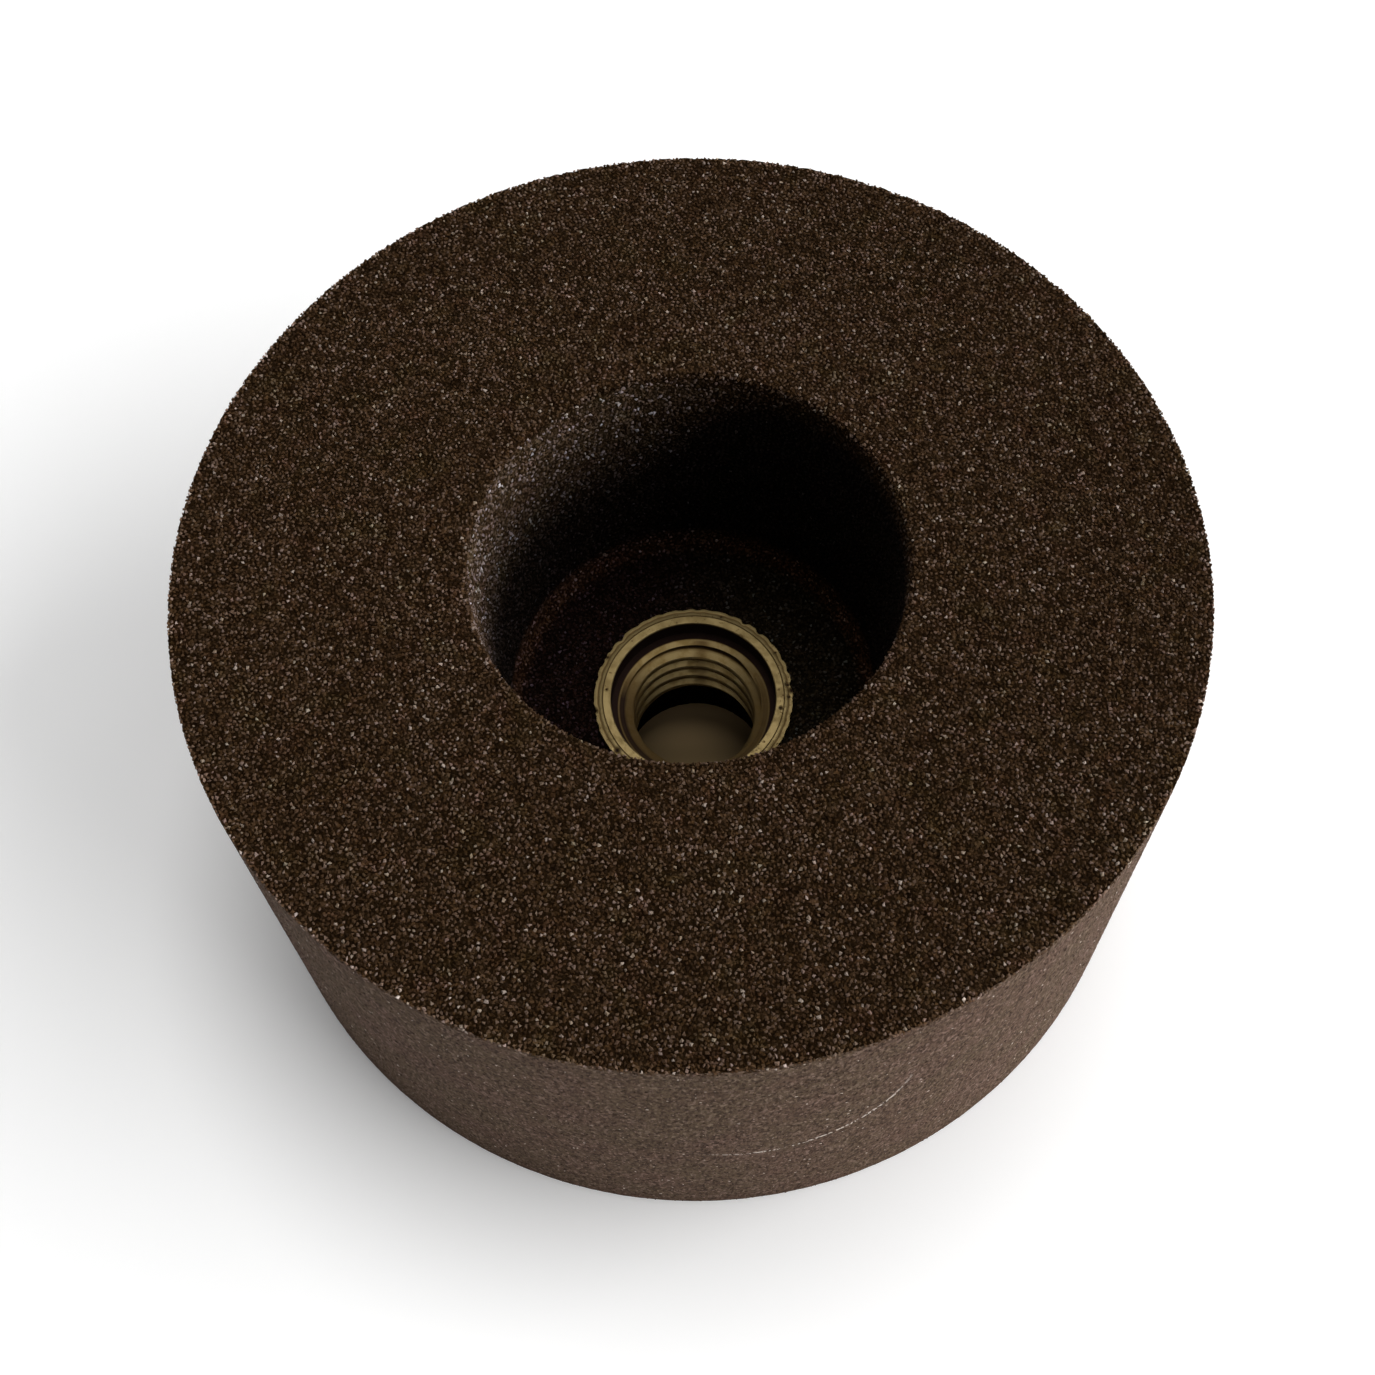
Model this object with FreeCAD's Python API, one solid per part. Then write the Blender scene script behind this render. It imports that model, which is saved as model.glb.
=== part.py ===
"""Straight cup grinding wheel, 4 in by 2 in, with a moulded-in threaded bush.

The wheel stands on its back. The origin is the centre of the back face, and +Z runs along the
spindle axis towards the grinding face. All sizes are in millimetres.
"""
import FreeCAD, Part
import math
import os

INCH = 25.4

# The moulded wheel
WHEEL_DIAMETER = 4 * INCH
WHEEL_HEIGHT = 2 * INCH
BACK_EDGE_CHAMFER = 0.4     # the outer edge of the grinding face is left sharp

# The recess in the grinding face
RECESS_DIAMETER = 43.4      # at the mouth, before its edge is rounded
RECESS_DRAFT = 3.7          # degrees; the wall closes in towards the floor
RECESS_MOUTH_ROUNDING = 0.8
RECESS_FLOOR_FILLET = 3.0
BACK_THICKNESS = 18.6       # from the back face to the floor of the recess

# The spindle thread, 5/8 in with 11 threads to the inch
THREAD_DIAMETER = 5 / 8 * INCH
THREAD_PITCH = INCH / 11
THREAD_DEPTH_SHARE = 0.49   # depth of the ridges, as a share of their pitch
SPINDLE_CLEARANCE = 0.45    # around the spindle, in the hole below the bush

# The bush
BUSH_DIAMETER = 7 / 8 * INCH
BUSH_LENGTH = 1 / 2 * INCH
BUSH_STAND_HEIGHT = 0.8     # how far its ring stands out of the recess floor
RING_CHAMFER_WIDTH = 0.9    # sloping band outside the ring's flat face
RING_CHAMFER_HEIGHT = 0.3
COUNTERBORE_DIAMETER = 18.4
COUNTERBORE_DEPTH = 2.3     # to the top of its coned floor
COUNTERSINK_SLOPE = 30.0    # degrees; the floor of the counterbore falls towards the thread
LEAD_IN_ANGLE = 45.0        # degrees from the axis, where the spindle enters from the back
LEAD_IN_WIDTH = 0.3         # how much wider than the thread the lead-in opens

# The grip of the bush in the wheel
KNURL_TEETH = 36
KNURL_DEPTH = 0.5
KNURL_CREST_SHARE = 0.4     # flat tooth tips, as a share of the tooth pitch
KNURL_ROOT_SHARE = 0.2      # flat tooth bottoms, as a share of the tooth pitch
GROOVE_WIDTH = 2.6          # ring groove that keeps the bush from pulling out
GROOVE_DEPTH = 0.5          # below the bottoms of the knurl

# Sizes that follow
wheel_radius = WHEEL_DIAMETER / 2
recess_radius = RECESS_DIAMETER / 2
recess_depth = WHEEL_HEIGHT - BACK_THICKNESS
recess_floor_radius = recess_radius - recess_depth * math.tan(math.radians(RECESS_DRAFT))
thread_radius = THREAD_DIAMETER / 2
bore_radius = thread_radius - THREAD_DEPTH_SHARE * THREAD_PITCH
spindle_hole_radius = thread_radius + SPINDLE_CLEARANCE
bush_radius = BUSH_DIAMETER / 2
bush_top = BACK_THICKNESS + BUSH_STAND_HEIGHT
bush_bottom = bush_top - BUSH_LENGTH
counterbore_radius = COUNTERBORE_DIAMETER / 2
knurl_root_radius = bush_radius - KNURL_DEPTH
groove_radius = knurl_root_radius - GROOVE_DEPTH

AXIS_POINT = FreeCAD.Vector(0, 0, 0)
AXIS = FreeCAD.Vector(0, 0, 1)


def rounded_outline(corners):
    """Close a wire through (radius, height, rounding) corners in the XZ plane."""
    points = [FreeCAD.Vector(radius, 0, height) for radius, height, _ in corners]
    following = points[1:] + points[:1]
    bends = []
    for before, corner, after, (_, _, rounding) in zip(points[-1:] + points, points, following, corners):
        to_before = (before - corner).normalize()
        to_after = (after - corner).normalize()
        if rounding == 0:
            bends.append((corner, None, corner))
            continue
        half_angle = to_before.getAngle(to_after) / 2
        reach = rounding / math.tan(half_angle)
        inwards = (to_before + to_after).normalize()
        nearest = corner + inwards * (rounding / math.sin(half_angle) - rounding)
        bends.append((corner + to_before * reach, nearest, corner + to_after * reach))
    edges = []
    for (_, _, leaving), (entering, nearest, left) in zip(bends[-1:] + bends, bends):
        edges.append(Part.LineSegment(leaving, entering).toShape())
        if nearest is not None:
            edges.append(Part.Arc(entering, nearest, left).toShape())
    return Part.Wire(edges)


def turned(corners):
    """Turn an outline of (radius, height, rounding) corners once round the spindle axis."""
    return Part.Face(rounded_outline(corners)).revolve(AXIS_POINT, AXIS, 360)


def knurled_bar():
    """Make a bar as long as the bush, with straight teeth along its outside."""
    pitch = 2 * math.pi / KNURL_TEETH
    half_crest = KNURL_CREST_SHARE * pitch / 2
    half_root_gap = (1 - KNURL_ROOT_SHARE) * pitch / 2
    stations = (
        (-half_root_gap, knurl_root_radius),
        (-half_crest, bush_radius),
        (half_crest, bush_radius),
        (half_root_gap, knurl_root_radius),
    )
    points = []
    for tooth in range(KNURL_TEETH):
        for offset, radius in stations:
            angle = tooth * pitch + offset
            points.append(FreeCAD.Vector(radius * math.cos(angle), radius * math.sin(angle), bush_bottom))
    section = Part.Face(Part.makePolygon(points + points[:1]))
    return section.extrude(FreeCAD.Vector(0, 0, BUSH_LENGTH))


def bush_outside():
    """Make the bush as a solid bar: its knurl, its ring groove and the slope round its ring."""
    groove_middle = (bush_bottom + BACK_THICKNESS) / 2
    groove_low = groove_middle - GROOVE_WIDTH / 2
    groove_high = groove_middle + GROOVE_WIDTH / 2
    envelope = turned([
        (0, bush_bottom, 0),
        (bush_radius, bush_bottom, 0),
        (bush_radius, groove_low, 0),
        (groove_radius, groove_low, 0),
        (groove_radius, groove_high, 0),
        (bush_radius, groove_high, 0),
        (bush_radius, bush_top - RING_CHAMFER_HEIGHT, 0),
        (bush_radius - RING_CHAMFER_WIDTH, bush_top, 0),
        (0, bush_top, 0),
    ])
    return knurled_bar().common(envelope)


def bush_inside():
    """Make the space in the bush: lead-in, plain bore at the ridges of the thread, and counterbore."""
    lead_in_radius = thread_radius + LEAD_IN_WIDTH
    lead_in_height = (lead_in_radius - bore_radius) / math.tan(math.radians(LEAD_IN_ANGLE))
    counterbore_floor = bush_top - COUNTERBORE_DEPTH
    countersink_height = (counterbore_radius - bore_radius) * math.tan(math.radians(COUNTERSINK_SLOPE))
    return turned([
        (0, bush_bottom, 0),
        (lead_in_radius, bush_bottom, 0),
        (bore_radius, bush_bottom + lead_in_height, 0),
        (bore_radius, counterbore_floor - countersink_height, 0),
        (counterbore_radius, counterbore_floor, 0),
        (counterbore_radius, bush_top, 0),
        (0, bush_top, 0),
    ])


def threaded_bush():
    """Bore out the knurled bush."""
    return bush_outside().cut(bush_inside())


def abrasive_body():
    """Mould the wheel round the bush, so that its socket is the bush's own outside."""
    wheel = turned([
        (spindle_hole_radius, 0, 0),
        (wheel_radius - BACK_EDGE_CHAMFER, 0, 0),
        (wheel_radius, BACK_EDGE_CHAMFER, 0),
        (wheel_radius, WHEEL_HEIGHT, 0),
        (recess_radius, WHEEL_HEIGHT, RECESS_MOUTH_ROUNDING),
        (recess_floor_radius, BACK_THICKNESS, RECESS_FLOOR_FILLET),
        (spindle_hole_radius, BACK_THICKNESS, 0),
    ])
    return wheel.cut(bush_outside())


def save(name, shape):
    """Write one piece to its own STEP file, once it is a single sound solid."""
    solid = shape.Solids[0]
    if len(shape.Solids) != 1 or not solid.isValid():
        raise ValueError(f"{name} is not one sound solid")
    solid.exportStep(f"parts/{name}.step")
    print(f"{name}: {solid.Volume / 1000:.2f} cubic centimetres, {len(solid.Faces)} faces")


os.makedirs("parts", exist_ok=True)
save("abrasive_body", abrasive_body())
save("threaded_bush", threaded_bush())
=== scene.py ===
"""Looks of a straight cup grinding wheel: its grains, its moulded side and its threaded bush.

The wheel stands on its back, with +Z along the spindle axis. Lengths are in metres.
"""

import math

import bmesh
import bpy
import numpy as np
from bpy.props import FloatProperty, FloatVectorProperty, IntProperty, PointerProperty
from mathutils import Matrix, Vector


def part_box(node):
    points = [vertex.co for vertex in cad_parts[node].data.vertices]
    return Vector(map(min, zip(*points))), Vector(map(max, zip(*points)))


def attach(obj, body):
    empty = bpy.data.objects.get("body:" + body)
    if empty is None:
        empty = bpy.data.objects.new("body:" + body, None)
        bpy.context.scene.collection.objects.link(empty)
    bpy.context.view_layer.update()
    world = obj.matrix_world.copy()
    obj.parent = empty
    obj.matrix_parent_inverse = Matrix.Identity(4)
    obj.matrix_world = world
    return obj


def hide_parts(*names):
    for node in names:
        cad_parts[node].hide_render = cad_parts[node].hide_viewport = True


bl_info = {
    "name": "Cup Grinding Wheel",
    "version": (1, 0, 0),
    "blender": (4, 5, 0),
    "location": "View3D > Sidebar > Cup Wheel",
    "description": "Makes a bonded abrasive cup wheel with its threaded bush",
    "category": "Add Mesh",
}

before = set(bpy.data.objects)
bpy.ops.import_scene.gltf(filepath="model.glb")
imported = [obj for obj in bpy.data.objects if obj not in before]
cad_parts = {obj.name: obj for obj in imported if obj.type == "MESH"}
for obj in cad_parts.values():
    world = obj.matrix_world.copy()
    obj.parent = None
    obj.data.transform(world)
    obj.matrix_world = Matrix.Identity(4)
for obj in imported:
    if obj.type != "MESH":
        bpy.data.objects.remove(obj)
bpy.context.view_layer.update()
BODY = "root"
MM = 0.001
INCH = 0.0254

_, WHEEL_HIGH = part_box("abrasive_body")
BUSH_LOW, BUSH_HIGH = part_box("threaded_bush")


def length(name, description, default):
    """Describe a length that the sidebar shows in the scene's units."""
    return FloatProperty(name=name, description=description, default=default,
                         subtype="DISTANCE", unit="LENGTH", precision=5)


def colour(name, description, default):
    """Describe a colour."""
    return FloatVectorProperty(name=name, description=description, default=default, subtype="COLOR", size=3,
                               min=0, max=1)


def fraction(name, description, default):
    """Describe a share, from none to all."""
    return FloatProperty(name=name, description=description, default=default,
                         subtype="FACTOR", min=0, max=1)


class WheelSizes(bpy.types.PropertyGroup):
    """Sizes of the moulded wheel."""

    radius: length("Radius", "Outside radius at the grinding face", WHEEL_HIGH.x)
    height: length("Height", "From the back face to the grinding face", WHEEL_HIGH.z)
    back_chamfer: length("Back chamfer", "Chamfer round the back face", 0.4 * MM)
    recess_radius: length("Recess radius", "Recess radius at its mouth", 21.7 * MM)
    recess_draft: FloatProperty(name="Recess draft", description="Taper of the recess towards its floor",
                                default=math.radians(3.7), subtype="ANGLE", unit="ROTATION")
    mouth_rounding: length("Mouth rounding", "Rounding of the mouth of the recess", 0.5 * MM)
    floor_fillet: length("Floor fillet", "Rounding round the floor of the recess", 3.0 * MM)
    back_thickness: length("Back thickness", "From the back face to the floor of the recess", 18.6 * MM)
    spindle_hole_radius: length("Spindle hole radius", "Hole below the bush", 8.3875 * MM)


class GrainLook(bpy.types.PropertyGroup):
    """Sizes and colours of the abrasive."""

    spacing: length("Spacing", "Least distance between two grains of the grinding face", 0.355 * MM)
    recess_spacing: length("Recess spacing", "Least distance between two grains of the recess", 0.42 * MM)
    side_spacing: length("Side spacing", "Least distance between two grains that stand out of the side",
                         0.52 * MM)
    grain_size: length("Grain size", "Half the length of the largest grain", 0.30 * MM)
    seed: IntProperty(name="Seed", description="Seed of the random places and turns", default=7)
    bond: colour("Bond", "Resin between the grains", (0.0170, 0.0088, 0.0032))
    grain: colour("Grain", "Middle tone of the grains", (0.072, 0.0408, 0.0203))
    # the palest grains, partly pale grit and partly painted glints held in the base colour
    pale_grain_and_glint: colour("Pale grain", "Cleaved grains that catch the light", (0.41, 0.33, 0.27))
    side: colour("Side", "Moulded skin of the side", (0.130, 0.085, 0.061))


class BushLook(bpy.types.PropertyGroup):
    """Sizes and colours of the threaded bush."""

    thread_radius: length("Thread radius", "Radius at the roots of the thread", 5 / 16 * INCH)
    thread_pitch: length("Thread pitch", "Rise of the thread in one turn", INCH / 11)
    counterbore_radius: length("Counterbore radius", "Radius of the step above the thread", 9.2 * MM)
    counterbore_depth: length("Counterbore depth", "Depth of the step above the thread", 2.3 * MM)
    ring_slope_width: length("Slope width", "Sloping band outside the ring's flat face", 0.9 * MM)
    ring_slope_height: length("Slope height", "Drop of the sloping band", 0.15 * MM)
    knurl_depth: length("Knurl depth", "Depth of the knurl round the bush", 0.5 * MM)
    knurl_teeth: IntProperty(name="Knurl teeth", description="Number of teeth round the bush", default=36)
    steel: colour("Steel", "Turned steel with its yellow passivation", (0.345, 0.258, 0.118))


class StageLook(bpy.types.PropertyGroup):
    """Floor and light."""

    floor: colour("Floor", "Colour of the floor", (0.97, 0.97, 0.97))
    sky: fraction("Sky", "Strength of the light from all round", 0.05)
    key: fraction("Key", "Share of the floor's light that comes from the right", 0.42)
    fill: fraction("Fill", "Share of the floor's light that comes wide from the right", 0.12)
    top: fraction("Top", "Share of the floor's light that comes from above", 0.32)
    rear: fraction("Rear", "Share of the floor's light that comes from behind", 0.05)
    front: fraction("Front", "Share of the floor's light that comes from the front", 0.03)
    white: fraction("White", "How far the open floor is whitened for the camera alone", 0.30)


class Value:
    """A socket that holds a number, with the usual arithmetic."""

    def __init__(self, nodes, socket):
        self.nodes = nodes
        self.socket = socket

    def __add__(self, other):
        return self.nodes.maths("ADD", self, other)

    def __sub__(self, other):
        return self.nodes.maths("SUBTRACT", self, other)

    def __rsub__(self, other):
        return self.nodes.maths("SUBTRACT", other, self)

    def __mul__(self, other):
        return self.nodes.maths("MULTIPLY", self, other)

    def __truediv__(self, other):
        return self.nodes.maths("DIVIDE", self, other)

    def __rtruediv__(self, other):
        return self.nodes.maths("DIVIDE", other, self)

    def __pow__(self, other):
        return self.nodes.maths("POWER", self, other)

    def __gt__(self, other):
        return self.nodes.maths("GREATER_THAN", self, other)

    __radd__ = __add__
    __rmul__ = __mul__


class Nodes:
    """Adds nodes to one tree."""

    def __init__(self, tree):
        self.tree = tree
        tree.nodes.clear()

    def node(self, kind, settings=None, inputs=None, output=0):
        """Add a node: its settings first, then the values or links of its sockets; return one output."""
        made = self.tree.nodes.new(kind)
        for name, value in (settings or {}).items():
            if name == "stops":
                self.set_stops(made.color_ramp, value)
            else:
                setattr(made, name, value)
        for name, value in (inputs or {}).items():
            if isinstance(value, Value):
                self.tree.links.new(value.socket, made.inputs[name])
            else:
                made.inputs[name].default_value = value
        return Value(self, made.outputs[output]) if made.outputs else None

    @staticmethod
    def set_stops(ramp, stops):
        """Give a colour ramp its (position, colour) stops."""
        while len(ramp.elements) < len(stops):
            ramp.elements.new(1)
        for element, (position, shade) in zip(ramp.elements, stops):
            element.position = position
            element.color = (*shade, 1)

    def maths(self, operation, *values):
        """Add a Math node on numbers or values."""
        return self.node("ShaderNodeMath", {"operation": operation}, dict(enumerate(values)))

    def smooth(self, value, low, high):
        """Rise smoothly from 0 at low to 1 at high."""
        return self.node("ShaderNodeMapRange", {"interpolation_type": "SMOOTHSTEP"},
                         {"Value": value, "From Min": low, "From Max": high})

    def seen(self):
        """Be 1 for the camera and for what metal and glass show, and 0 for the light on other surfaces."""
        path = self.node("ShaderNodeLightPath").socket.node
        camera, glossy, transmission = (Value(self, path.outputs[f"Is {kind} Ray"])
                                        for kind in ("Camera", "Glossy", "Transmission"))
        return self.maths("MINIMUM", 1, camera + glossy + transmission)


# The Mix node's colour sockets go by index, because its number and vector sockets have the same names
MIX_FIRST = 6
MIX_SECOND = 7
MIX_RESULT = 2


class Shader(Nodes):
    """A material with one Principled node, and the patterns that the finishes share."""

    def __init__(self, name):
        self.material = bpy.data.materials.new(name)
        self.material.use_nodes = True
        super().__init__(self.material.node_tree)
        self.place = self.node("ShaderNodeTexCoord", output="Object")
        split = self.node("ShaderNodeSeparateXYZ", inputs={0: self.place}).socket.node
        self.x, self.y, self.z = (Value(self, socket) for socket in split.outputs)

    def from_axis(self):
        """Give the distance from the wheel's axis."""
        return (self.x * self.x + self.y * self.y) ** 0.5

    def carried(self, name):
        """Give the number of this name that the mesh carries."""
        return self.node("ShaderNodeAttribute", {"attribute_name": name}, output="Fac")

    def noise(self, size, detail=2, roughness=0.5):
        """Give smooth noise whose spots are about size across."""
        inputs = {"Vector": self.place, "Scale": 1 / size, "Detail": detail, "Roughness": roughness}
        return self.node("ShaderNodeTexNoise", inputs=inputs)

    def cells(self, size, output="Distance"):
        """Give random cells about size across."""
        inputs = {"Vector": self.place, "Scale": 1 / size}
        return self.node("ShaderNodeTexVoronoi", inputs=inputs, output=output)

    def cell_tone(self, size):
        """Give each random cell its own number."""
        return self.node("ShaderNodeSeparateColor", inputs={0: self.cells(size, "Color")})

    def ramp(self, value, *stops):
        """Turn a number into a colour through (position, colour) stops."""
        return self.node("ShaderNodeValToRGB", {"stops": stops}, {0: value})

    def mix(self, factor, first, second, blend="MIX"):
        """Blend two colours, by default from the first towards the second."""
        sockets = {0: factor}
        for index, shade in ((MIX_FIRST, first), (MIX_SECOND, second)):
            sockets[index] = shade if isinstance(shade, Value) else (*shade, 1)
        settings = {"data_type": "RGBA", "blend_type": blend}
        return self.node("ShaderNodeMix", settings, sockets, output=MIX_RESULT)

    def tint(self, shade, factors, share=1.0):
        """Scale the red, green and blue of a colour that nodes give, as far as the share says."""
        return self.mix(share, shade, factors, "MULTIPLY")

    def bump(self, height, distance, strength=1.0, normal=None):
        """Turn a height into a normal."""
        inputs = {"Height": height, "Distance": distance, "Strength": strength}
        if normal is not None:
            inputs["Normal"] = normal
        return self.node("ShaderNodeBump", inputs=inputs)

    def finish(self, **sockets):
        """Feed the surface and return the material."""
        surface = self.node("ShaderNodeBsdfPrincipled",
                            inputs={name.replace("_", " "): value for name, value in sockets.items()})
        self.node("ShaderNodeOutputMaterial", inputs={"Surface": surface})
        return self.material


def scaled(shade, *factors):
    """Scale a plain colour by one factor, or its red, green and blue by three."""
    factors = factors if len(factors) == 3 else factors * 3
    return tuple(part * factor for part, factor in zip(shade, factors))


def paint_recess_light_and_shade(shader, sizes, shade):
    """Paint light and shade into the recess: painted light on the lit side below its mouth, painted shade
    deeper down, a lighter foot and a reddish floor painted darker.
    """
    depth = (sizes.height - shader.z) / (sizes.height - sizes.back_thickness)
    # the lit side of the recess, on the left, where the painted light falls and the painted shade starts
    # deeper
    painted_lit_side = shader.smooth(0 - shader.x, -0.5 * sizes.recess_radius, 0.35 * sizes.recess_radius)
    # painted light: the wall is made paler just below the mouth on the lit side
    painted_light = shader.smooth(depth, 0.01, 0.05) * painted_lit_side
    shade = shader.tint(shade, (2.3, 2.8, 3.8), painted_light * 0.7)
    # painted shade: the wall darkens with depth, starting deeper on the lit side
    painted_shade = shader.smooth(depth, 0.0, 0.16 + painted_lit_side * 0.46)
    shade = shader.tint(shade, (0.035, 0.028, 0.026), painted_shade * 0.975)
    # the fillet round the foot takes back much of the painted shade, more on the lit side
    foot = shader.mix(painted_lit_side, (18.8, 17.2, 15.7), (7.9, 6.5, 6.3))
    shade = shader.tint(shade, foot, shader.smooth(depth, 0.87, 0.93))
    # painted shade darkens the floor again and tints it reddish, more so away from the lit side
    floor = shader.mix(painted_lit_side, (0.28, 0.43, 0.52), (0.27, 0.265, 0.33))
    return shader.tint(shade, floor, shader.smooth(depth, 0.965, 0.995))


def grain_tints(shader, shade):
    """Tint the abrasive with soft reddish and olive spots."""
    red = shader.smooth(shader.noise(2.4 * MM), 0.5, 0.72)
    olive = shader.smooth(shader.noise(3.1 * MM, detail=1), 0.52, 0.75)
    cloud = shader.noise(14 * MM)
    clumps = shader.smooth(shader.noise(1.2 * MM, detail=2), 0.38, 0.62)
    shade = shader.mix(clumps, shader.tint(shade, (0.78, 0.72, 0.62)), shade)
    shade = shader.mix(clumps, shade, shader.tint(shade, (1.2, 1.22, 1.28)))
    shade = shader.tint(shade, (1.0, 0.76, 0.76), red * 0.4)
    shade = shader.tint(shade, (0.90, 1.0, 0.72), olive * 0.5)
    return shader.tint(shade, (0.82, 0.80, 0.78), cloud * 0.5)


def chipped_rim(shader, sizes, shade):
    """Make the grains pale in places along the outer edge, where the edge has crumbled."""
    rim = shader.smooth(shader.from_axis(), sizes.radius - 1.1 * MM, sizes.radius - 0.35 * MM)
    crumbled = shader.smooth(shader.noise(0.9 * MM), 0.42, 0.60)
    return shader.tint(shade, (2.3, 2.4, 2.6), rim * (0.25 + 0.6 * crumbled))


def grain_material(name, look, sizes, in_recess=False):
    """Grains: each has a tone of its own, and a few are cleaved and pale; the palest are partly painted
    glints.
    """
    shader = Shader(name)
    tone = shader.carried("tone")
    shade = shader.ramp(
        tone,
        (0.00, scaled(look.grain, 0.22, 0.20, 0.16)),
        (0.40, scaled(look.grain, 0.72, 0.70, 0.68)),
        (0.75, scaled(look.grain, 1.32, 1.50, 2.06)),
        (0.94, scaled(look.grain, 2.15, 2.62, 4.10)),
        # the palest tones are partly pale grit and partly painted glints
        (0.98, scaled(look.pale_grain_and_glint, 0.55)),
        (1.00, scaled(look.pale_grain_and_glint, 0.8)),
    )
    shade = grain_tints(shader, shade)
    if in_recess:
        shade = paint_recess_light_and_shade(shader, sizes, shade)
    else:
        shade = chipped_rim(shader, sizes, shade)
    facets = shader.bump(shader.noise(0.12 * MM), 0.05 * MM, 0.5)
    cleaved = tone > 0.95
    return shader.finish(Base_Color=shade, Roughness=0.72 - 0.3 * cleaved, Specular_IOR_Level=0.05,
                         Normal=facets)


def bond_material(name, look, sizes, in_recess=False):
    """Resin between the grains, with the smallest grit in it."""
    shader = Shader(name)
    tone = shader.cell_tone(0.22 * MM)
    shade = shader.ramp(tone, (0.0, scaled(look.bond, 0.5)), (0.7, look.bond), (1.0, scaled(look.grain, 1.1)))
    shade = grain_tints(shader, shade)
    if in_recess:
        shade = paint_recess_light_and_shade(shader, sizes, shade)
    grit = shader.bump(shader.cells(0.2 * MM), 0.12 * MM, 0.8)
    return shader.finish(Base_Color=shade, Roughness=0.85, Specular_IOR_Level=0.02, Normal=grit)


def scratch(shader, sizes):
    """Give the pale dashed scratch on the side: part of a circle drawn on the unrolled wall."""
    middle_azimuth = math.radians(-85.6)
    middle_height = 36 * MM
    circle_radius = 15.2 * MM
    half_width = 0.26 * MM
    begins, full, fades, ends = -2.05, -1.5, -0.7, 0.1    # radians round the circle
    azimuth = shader.maths("ARCTAN2", shader.y, shader.x)
    across = (azimuth - middle_azimuth) * sizes.radius
    up = shader.z - middle_height
    off_line = shader.maths("ABSOLUTE", (across * across + up * up) ** 0.5 - circle_radius)
    turn = shader.maths("ARCTAN2", up, across)
    drawn = shader.smooth(turn, begins, full) * (1 - shader.smooth(turn, fades, ends))
    dashes = shader.smooth(shader.noise(0.3 * MM, detail=1), 0.47, 0.54)
    return (1 - shader.smooth(off_line, half_width * 0.4, half_width)) * drawn * dashes


UPRIGHT_SPOTS = (1, 1, 0.48)    # the spots of the side's skin are about twice as high as wide


def side_material(name, look, sizes, loose=False):
    """Moulded skin of the side: mottled in mauve and olive, with a scratch; loose grains vary in tone."""
    shader = Shader(name)
    mottle = shader.smooth(shader.noise(8 * MM, detail=3), 0.35, 0.65)
    shade = shader.mix(mottle, scaled(look.side, 1.04, 0.985, 1.00), scaled(look.side, 0.95, 1.00, 0.90))
    shader.place = shader.node("ShaderNodeVectorMath", {"operation": "MULTIPLY"},
                               {0: shader.place, 1: UPRIGHT_SPOTS})
    fine = shader.noise(0.38 * MM, detail=3, roughness=0.65)
    shade = shader.mix(shader.smooth(fine, 0.34, 0.64), scaled(look.side, 0.56, 0.53, 0.50), shade)
    grit = shader.cell_tone(0.28 * MM)
    shade = shader.tint(shade, (0.55, 0.52, 0.50), 1 - shader.smooth(grit, 0.0, 0.5))
    shade = shader.tint(shade, (1.62, 1.72, 1.90), shader.smooth(grit, 0.7, 1.0))
    if loose:
        tone = shader.carried("tone")
        shade = shader.tint(shade, (0.40, 0.36, 0.34), 1 - shader.smooth(tone, 0.0, 0.5))
        shade = shader.mix(shader.smooth(tone, 0.5, 0.95) * 0.8, shade, scaled(look.side, 2.2, 2.35, 2.75))
        # the palest loose grains are partly pale grit and partly painted glints
        shade = shader.mix((tone > 0.97) * 0.8, shade, scaled(look.pale_grain_and_glint, 1.5, 1.6, 1.7))
    shade = shader.mix(scratch(shader, sizes) * 0.8, shade, scaled(look.pale_grain_and_glint, 1.9, 2.1, 2.3))
    # painted shade: the skin darkens towards the floor along its foot
    foot = 1 - shader.smooth(shader.z, 0.2 * MM, 3.5 * MM)
    shade = shader.mix(foot * 0.3, shade, scaled(look.side, 0.5, 0.4, 0.35))
    relief = shader.bump(fine + shader.cells(0.42 * MM) * 0.7, 0.12 * MM, 0.9)
    return shader.finish(Base_Color=shade, Roughness=0.8, Specular_IOR_Level=0.03, Normal=relief)


TOOL_FEED = 0.16 * MM    # from one turning mark on the bush to the next


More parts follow.
